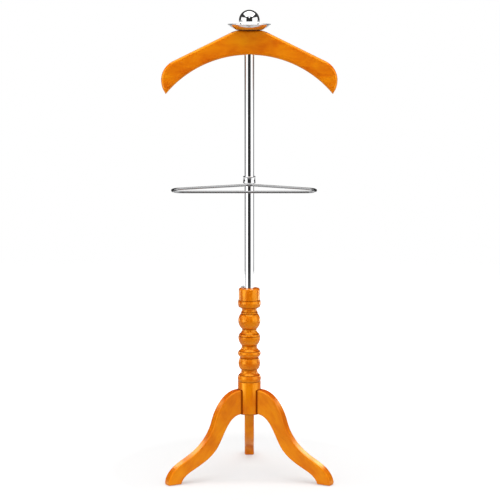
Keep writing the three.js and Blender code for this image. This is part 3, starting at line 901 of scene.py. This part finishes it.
def makeThumbScrew():
    foot, top = span("bar_collar")
    low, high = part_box("collar_thumb_screw")
    tip, end = (low.y - axisY) / mm, (high.y - axisY) / mm
    head = end - thumbScrew["gripLength"]
    shank, shankEase = thumbScrew["shank"], thumbScrew["shankEase"]
    rod = lathe([(0, tip), (shank - shankEase, tip), (shank, tip + shankEase), (shank, head + 1),
                 (0, head + 1)], 32)
    wide, ease, dimple = thumbScrew["gripRadius"], thumbScrew["gripEase"], thumbScrew["dimple"]
    grip = lathe([(0, head), (wide - ease, head), (wide, head + ease), (wide, end - ease), (wide - ease, end),
                  (dimple, end), (dimple - 0.4, end - 0.5), (0, end - 0.5)], thumbScrew["knurls"] * 2)
    walls = [f for f in grip.faces if abs(f.normal.z) < 0.1 and f.calc_center_median().xy.length > 7]
    walls.sort(key=lambda f: atan2(f.calc_center_median().y, f.calc_center_median().x))
    ribs = bmesh.ops.extrude_discrete_faces(grip, faces=walls[::2])["faces"]
    for rib in ribs:
        outward = Vector((*rib.calc_center_median().xy, 0)).normalized()
        bmesh.ops.translate(grip, verts=rib.verts, vec=outward * thumbScrew["knurlHeight"])
    bm = joined(rod, grip)
    turn(bm, -90, "X")
    move(bm, 0, 0, (foot + top) / 2)
    addPiece("thumbScrew", bm, chromeWorn, "bar_lock", "chrome", "collar_thumb_screw", sharp=30)


bar = {
    "wireRadius": 3.25,
    "reachLeft": 197.5,
    "reachRight": 171.0,
    "depth": 113.0,
    "endRadius": 26.5,
    "apexRadius": 30.0,
    "droop": 3.1,
    "gap": 0.3,
}


def barCentreLine():
    # the wire's flat centre line, from the apex round the right end and back by the left
    endRadius, apexRadius = bar["endRadius"], bar["apexRadius"]

    def side(reach):
        endX = reach - bar["wireRadius"] - endRadius
        endY = bar["depth"] - endRadius
        armReach = hypot(endX, endY - apexRadius)
        lean = atan2(endY - apexRadius, endX)
        return endX, endY, degrees(lean - asin((endRadius - apexRadius) / armReach))

    rightX, rightY, rightArm = side(bar["reachRight"])
    leftX, leftY, leftArm = side(bar["reachLeft"])
    apex = (0, -apexRadius)
    points = arcPoints(apex, apexRadius, 89.9, 90 - rightArm, 10)
    points += arcPoints((rightX, -rightY), endRadius, 90 - rightArm, -90, 26)
    points += arcPoints((-leftX, -leftY), endRadius, -90, leftArm - 270, 26)
    points += arcPoints(apex, apexRadius, leftArm - 270, -269.9, 10)
    return points


def makeWire():
    foot = span("bar_collar")[0]
    line = bpy.data.curves.new("barLine", "CURVE")
    line.dimensions = "3D"
    line.bevel_depth = bar["wireRadius"]
    line.bevel_resolution = 8
    line.use_fill_caps = True
    spline = line.splines.new("POLY")
    points = barCentreLine()
    spline.points.add(len(points) - 1)
    for point, (x, y) in zip(spline.points, points):
        point.co = (x, y, 0, 1)
    holder = bpy.data.objects.new("barLine", line)
    scene.collection.objects.link(holder)
    mesh = bpy.data.meshes.new_from_object(holder.evaluated_get(bpy.context.evaluated_depsgraph_get()))
    bm = bmesh.new()
    bm.from_mesh(mesh)
    bpy.data.objects.remove(holder)
    bpy.data.curves.remove(line)
    bpy.data.meshes.remove(mesh)
    bmesh.ops.remove_doubles(bm, verts=bm.verts, dist=0.001)
    bmesh.ops.recalc_face_normals(bm, faces=bm.faces)
    turn(bm, bar["droop"], "X")
    clear = bar["gap"] + bar["wireRadius"]
    move(bm, 0, -(pole["radius"] + clear), foot - clear)
    addPiece("barWire", bm, chromeWire, "bar", "chrome", "trouser_bar")


braze = {
    "azimuths": (-112, -90, -68),
    "size": (2.6, 1.5, 1.3),
    "reach": 15.4,
    "drop": 0.1,
}


def makeBraze():
    # fillets of braze where the wire meets the collar's lower edge
    foot = span("bar_collar")[0]
    lumps = []
    for azimuth in braze["azimuths"]:
        lump = bmesh.new()
        bmesh.ops.create_uvsphere(lump, u_segments=24, v_segments=16, radius=1)
        bmesh.ops.scale(lump, verts=lump.verts, vec=braze["size"])
        turn(lump, azimuth + 90, "Z")
        way = radians(azimuth)
        move(lump, braze["reach"] * cos(way), braze["reach"] * sin(way), foot - braze["drop"])
        lumps.append(lump)
    addPiece("collarBraze", joined(*lumps), chromeWorn, "bar", "chrome")


liner = {"bore": 12.8, "radius": 14.0, "ease": 0.3}


def makeLiner():
    ring = easedRing(liner["bore"], liner["radius"], *span("collar_liner"), liner["ease"])
    addPiece("collarLiner", lathe(ring, 96, closed=True), blackNylon, "bar_slider", "dark_nylon",
             "collar_liner")


makeCollar()
makeThumbScrew()
makeWire()
makeBraze()
makeLiner()
print("trouser bar bent")

# the fittings inside keep their own solids
for name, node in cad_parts.items():
    if node.hide_render:
        continue
    node.data.materials.clear()
    node.data.materials.append(dowelWood if "dowel" in name else zincPlate)
print("fittings finished")

view = {
    "distance": 5.0,
    "height": 1.267,
    "aim": 0.593,
    "sensor": 36.0,
    "lens": 140.472,
    "shift": 0.0014,
}


def makeCamera():
    data = bpy.data.cameras.new("camera")
    data.sensor_width = view["sensor"]
    data.lens = view["lens"]
    data.shift_x = view["shift"]
    data.clip_end = 100
    camera = bpy.data.objects.new("camera", data)
    scene.collection.objects.link(camera)
    camera.location = (axisX, axisY - view["distance"], view["height"])
    aim = Vector((axisX, axisY, view["aim"])) - camera.location
    camera.rotation_euler = aim.to_track_quat("-Z", "Y").to_euler()
    scene.camera = camera


# sizes in metres; a panel's level is how bright its face is
studio = {
    # upright panels, by the angles they span round the pole, counted from the camera's side
    "left": {"from": -34, "to": -82, "distance": 2.4, "low": 0.05, "high": 2.35, "level": 1.35},
    "right": {"from": 34, "to": 94, "distance": 2.4, "low": 0.05, "high": 2.35, "level": 1.3},
    "leftWing": {"from": -82, "to": -106, "distance": 2.4, "low": 1.1, "high": 2.2, "level": 1.3},
    "rightWing": {"from": 94, "to": 108, "distance": 2.4, "low": 1.1, "high": 2.2, "level": 1.3},
    "top": {"width": 3.4, "length": 2.8, "height": 2.95, "forward": 0.45, "level": 1.9},
    "spot": {"size": 0.8, "distance": 3.0, "elevation": 32.6, "level": 1.5},
    # low round patches at the sides, for the lacquer to mirror
    "leftGlint": {"azimuth": -61, "distance": 2.3, "height": 0.42, "wide": 0.80, "high": 0.80, "level": 1.6},
    "rightGlint": {"azimuth": 80, "distance": 2.3, "height": 0.42, "wide": 0.50, "high": 0.80, "level": 0.6},
    # low patches behind, for the legs' rounded edges
    "rightKick": {"toward": (0.70, 0.60, 0.38), "distance": 0.66, "aim": 0.12, "size": 0.18, "level": 4.8},
    "leftKick": {"toward": (-0.72, 0.58, 0.38), "distance": 0.66, "aim": 0.12, "size": 0.18, "level": 3.2},
    "frontFill": {"size": 2.0, "distance": 3.2, "height": 1.6, "aim": 0.6, "level": 3.4},
    "topFill": {"size": 3.0, "height": 3.1, "level": 1.6},
}


def addPanel(name, place, aim, width, height, level, shape="RECTANGLE"):
    data = bpy.data.lights.new(name, "AREA")
    data.shape = shape
    data.size = width
    data.size_y = height
    area = width * height * (pi / 4 if shape == "ELLIPSE" else 1)
    data.energy = level * pi * area
    panel = bpy.data.objects.new(name, data)
    scene.collection.objects.link(panel)
    panel.location = place
    panel.rotation_euler = (Vector(aim) - Vector(place)).to_track_quat("-Z", "Y").to_euler()
    return panel


def addSidePanel(name):
    s = studio[name]
    middle, half = radians((s["from"] + s["to"]) / 2), radians(abs(s["to"] - s["from"]) / 2)
    height = (s["low"] + s["high"]) / 2
    place = (axisX + s["distance"] * sin(middle), axisY - s["distance"] * cos(middle), height)
    width = 2 * s["distance"] * tan(half)
    addPanel(name + "Softbox", place, (axisX, axisY, height), width, s["high"] - s["low"], s["level"])


def addGlint(name):
    s = studio[name]
    way = radians(s["azimuth"])
    middle = Vector((axisX, axisY, s["height"]))
    place = middle + s["distance"] * Vector((sin(way), -cos(way), 0))
    addPanel(name, place, middle, s["wide"], s["high"], s["level"], "ELLIPSE")


def addKick(name):
    s = studio[name]
    low = Vector((axisX, axisY, s["aim"]))
    place = low + s["distance"] * Vector(s["toward"]).normalized()
    addPanel(name, place, low, s["size"], s["size"], s["level"], "ELLIPSE")


def addCeiling():
    s = studio["top"]
    place = Vector((axisX, axisY - s["forward"], s["height"]))
    addPanel("topSoftbox", place, place - Vector((0, 0, 1)), s["width"], s["length"], s["level"])


def addSpot():
    # round, and aimed at the ball, which mirrors it below its crown
    s = studio["spot"]
    ballMiddle = Vector((axisX, axisY, (span("finial_ball")[1] - finial["radius"]) * mm))
    rise = radians(s["elevation"])
    place = ballMiddle + s["distance"] * Vector((0, -cos(rise), sin(rise)))
    addPanel("spotPanel", place, ballMiddle, s["size"], s["size"], s["level"], "ELLIPSE")


def addFills():
    # kept out of reflections, so the metal keeps its dark front
    s = studio["frontFill"]
    place = Vector((axisX, axisY - s["distance"], s["height"]))
    front = addPanel("frontFill", place, (axisX, axisY, s["aim"]), s["size"], s["size"], s["level"])
    front.visible_glossy = False
    s = studio["topFill"]
    place = Vector((axisX, axisY, s["height"]))
    above = addPanel("topFill", place, place - Vector((0, 0, 1)), s["size"], s["size"], s["level"])
    above.visible_glossy = False


surround = {
    "front": 0.035,
    "behind": ((0.52, 0.05), (0.57, 0.42), (0.62, 0.5), (0.74, 0.95)),  # from high to low
    "turnsBright": (-0.3, 0.1),
}


def makeWorld():
    # the lens sees white; the metal sees a dark front and a back that is pale low down
    world = bpy.data.worlds.new("studio")
    scene.world = world
    world.use_nodes = True
    world.node_tree.nodes.clear()
    m = Maker(world.node_tree)
    direction = m.node("TexCoord", {}, (), out="Generated")
    depth = m.node("SeparateXYZ", {}, (direction,), out="Y")
    climb = m.node("SeparateXYZ", {}, (direction,), out="Z")
    behind = m.ramp(0.5 - climb, *surround["behind"])
    level = m.mapRange(depth, *surround["turnsBright"], surround["front"], behind, smooth=True)
    seen = m.node("LightPath", {}, (), out="Is Camera Ray")
    color = m.mix(seen, m.mix(level, (0, 0, 0), (1, 1, 1)), (1, 1, 1))
    background = m.node("Background", {}, {"Color": color, "Strength": 1.0})
    m.node("OutputWorld", {}, {"Surface": background})


paper = {
    "tone": 0.50,
    "glow": 0.36,
    "glowSpreads": (0.35, 1.2),
    "fades": (2.0, 4.2),
    "ahead": 5.0,
    # what the metal sees of it, from the stand towards the lens; it starts from the tone
    "dims": ((0.14, 0.22), (0.40, 0.13), (0.66, 0.10), (0.84, 0.02)),
    "toothScale": 400.0,
}


def paperSweep():
    material, m = newMaterial("paperSweep")
    place = m.node("TexCoord", {}, (), out="Object")
    away = m.node("VectorMath", {"operation": "LENGTH"}, (place,), out="Value")
    cover = m.mapRange(away, *paper["fades"], 1.0, 0.0, smooth=True)
    tooth = m.noise(place, paper["toothScale"], 2.0)
    ahead = m.node("SeparateXYZ", {}, (place,), out="Y") / -paper["ahead"]
    seen = m.node("LightPath", {}, (), out="Is Camera Ray")
    tone = m.mix(seen, m.ramp(ahead, (0.05, paper["tone"]), *paper["dims"]), (paper["tone"],) * 3)
    glow = m.mapRange(away, *paper["glowSpreads"], paper["glow"], 1.0)
    finishMaterial(m, {
        "Base Color": tone,
        "Roughness": 0.85,
        "Specular IOR Level": 0.0,
        "Emission Color": m.mix(seen, (0.1, 0.1, 0.1), m.mix(glow, (0, 0, 0), (1, 1, 1))),
        "Emission Strength": 1.0,
        "Alpha": cover,
        "Normal": m.bump(tooth, 0.05, 0.001),
    })
    return material


def makeFloor():
    bm = bmesh.new()
    bmesh.ops.create_circle(bm, cap_ends=True, segments=96, radius=paper["fades"][1])
    mesh = bpy.data.meshes.new("floor")
    bm.to_mesh(mesh)
    bm.free()
    mesh.materials.append(paperSweep())
    floor = bpy.data.objects.new("floor", mesh)
    scene.collection.objects.link(floor)


makeCamera()
for name in ("left", "right", "leftWing", "rightWing"):
    addSidePanel(name)
addCeiling()
addSpot()
for name in ("leftGlint", "rightGlint"):
    addGlint(name)
for name in ("rightKick", "leftKick"):
    addKick(name)
addFills()
makeWorld()
makeFloor()
scene.view_settings.view_transform = "Standard"
print("studio set")
